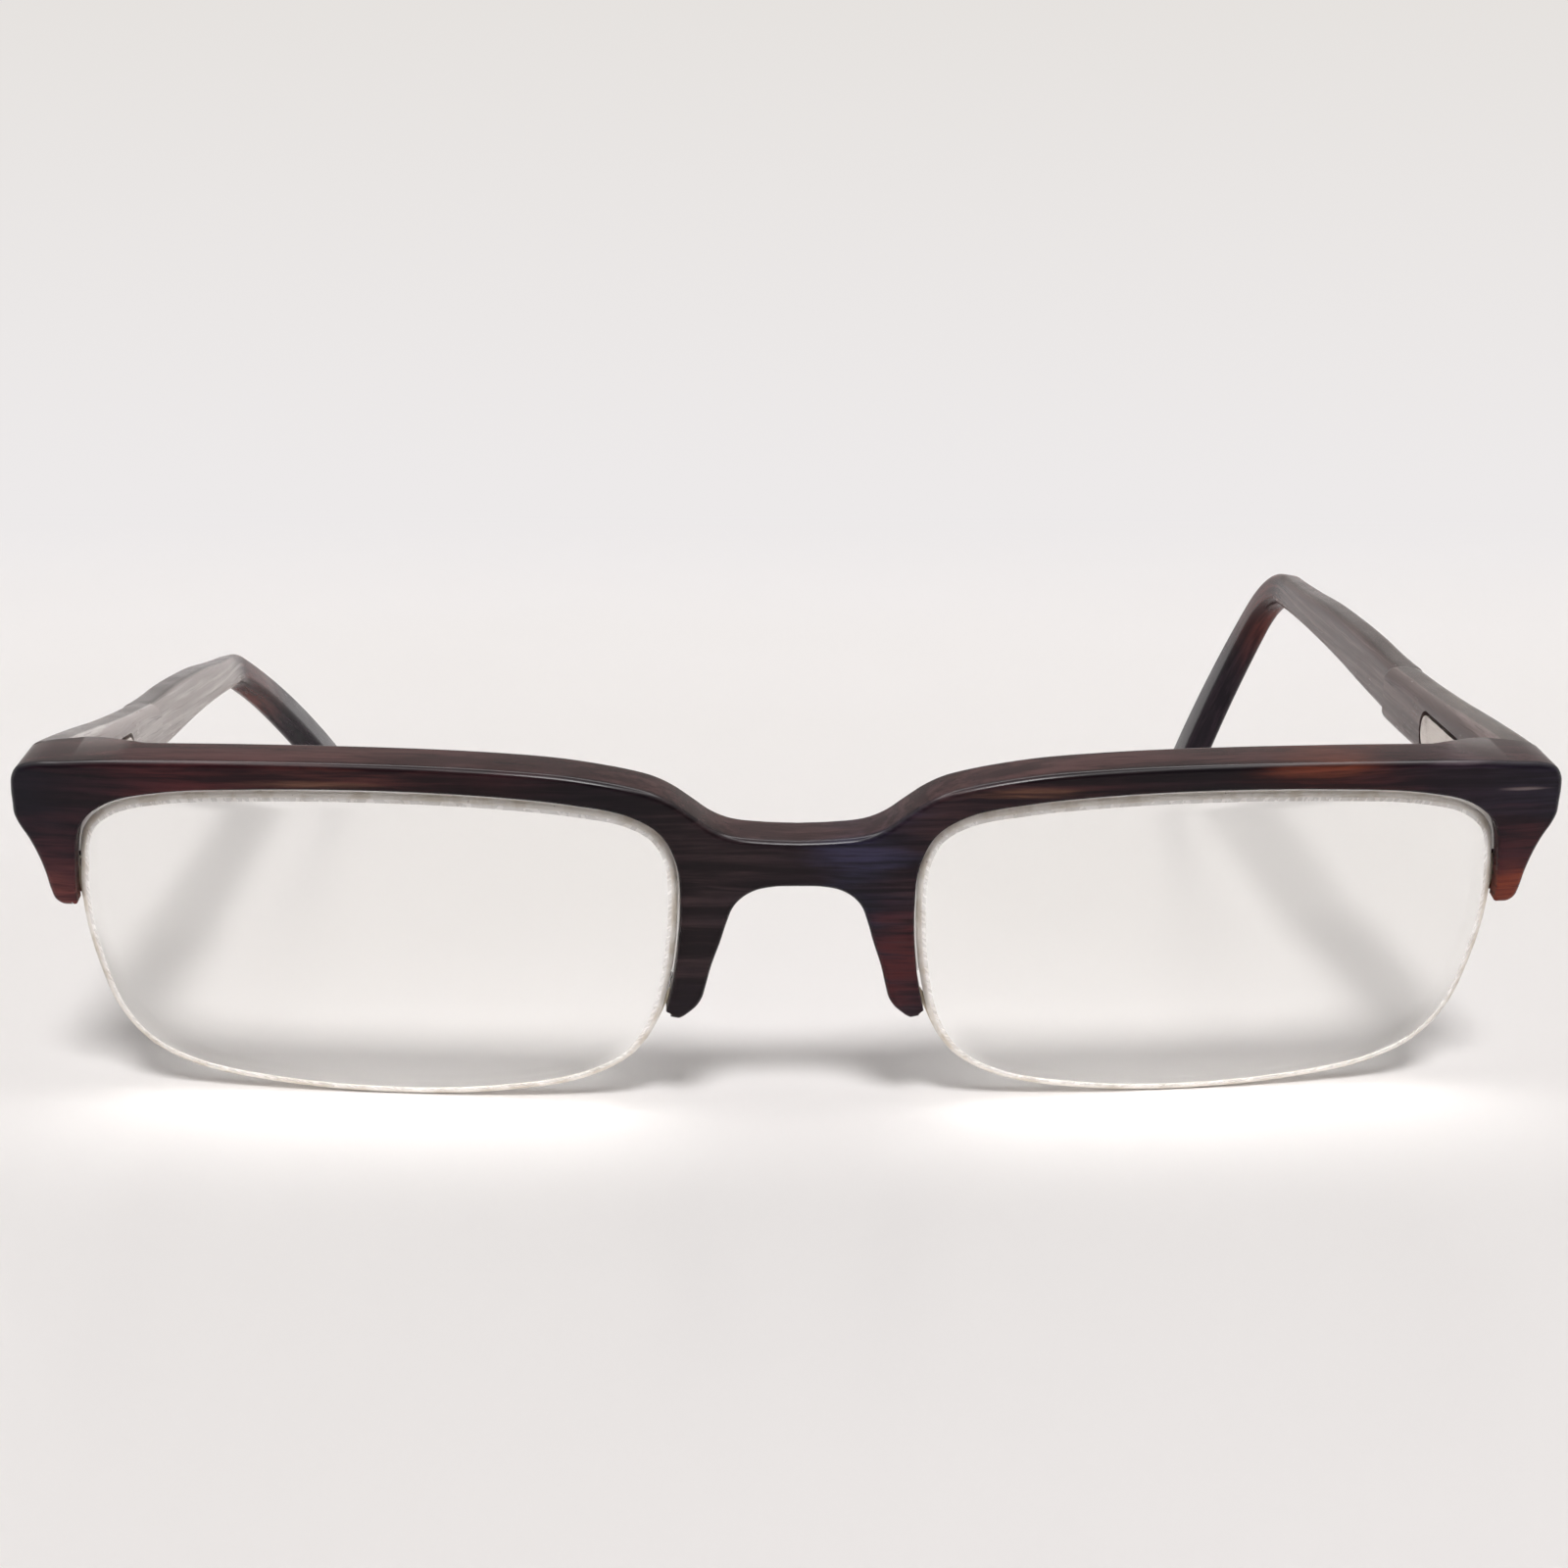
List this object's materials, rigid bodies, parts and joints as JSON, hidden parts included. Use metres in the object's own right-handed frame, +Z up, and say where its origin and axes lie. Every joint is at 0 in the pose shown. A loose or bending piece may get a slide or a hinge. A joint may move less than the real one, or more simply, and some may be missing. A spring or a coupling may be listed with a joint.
{
  "type": "reading glasses",
  "caption": "Half-rim reading glasses with a horn-look brow front, cord-held lenses and folding temples.",
  "frame": {"origin": "middle of the ground rectangle that the open glasses cover, on the surface that they stand on", "axes": "+X to the wearer's left, +Y to the rear towards the temple tips, +Z up; the lenses face -Y"},
  "size_m": [0.1371, 0.1472, 0.0373],
  "materials": {
    "horn_acetate": "polished, dark brown-black horn pattern",
    "lens_resin": "clear, polished",
    "clear_nylon": "clear nylon, slightly hazy",
    "aged_nylon": "yellowed monofilament",
    "hinge_metal": "satin nickel silver",
    "screw_steel": "satin",
    "core_metal": "drawn wire"
  },
  "bodies": {
    "front": {"brow_front": "horn_acetate", "left_lens": "lens_resin", "right_lens": "lens_resin", "left_nylon_cord": "aged_nylon", "right_nylon_cord": "aged_nylon", "left_rim_liner": "clear_nylon", "right_rim_liner": "clear_nylon", "left_front_leaf": "hinge_metal", "right_front_leaf": "hinge_metal", "left_hinge_screw": "screw_steel", "right_hinge_screw": "screw_steel"},
    "left_temple": {"left_temple": "horn_acetate", "left_temple_leaf": "hinge_metal", "left_core_wire": "core_metal"},
    "right_temple": {"right_temple": "horn_acetate", "right_temple_leaf": "hinge_metal", "right_core_wire": "core_metal"}
  },
  "joints": [
    {"name": "left_temple_fold", "type": "hinge", "parent": "front", "child": "left_temple", "pos_m": [0.06109, -0.05844, 0.02728], "axis": [0, 0, 1], "range_deg": [0, 85]},
    {"name": "right_temple_fold", "type": "hinge", "parent": "front", "child": "right_temple", "pos_m": [-0.06109, -0.05844, 0.02728], "axis": [0, 0, -1], "range_deg": [0, 85]}
  ]
}
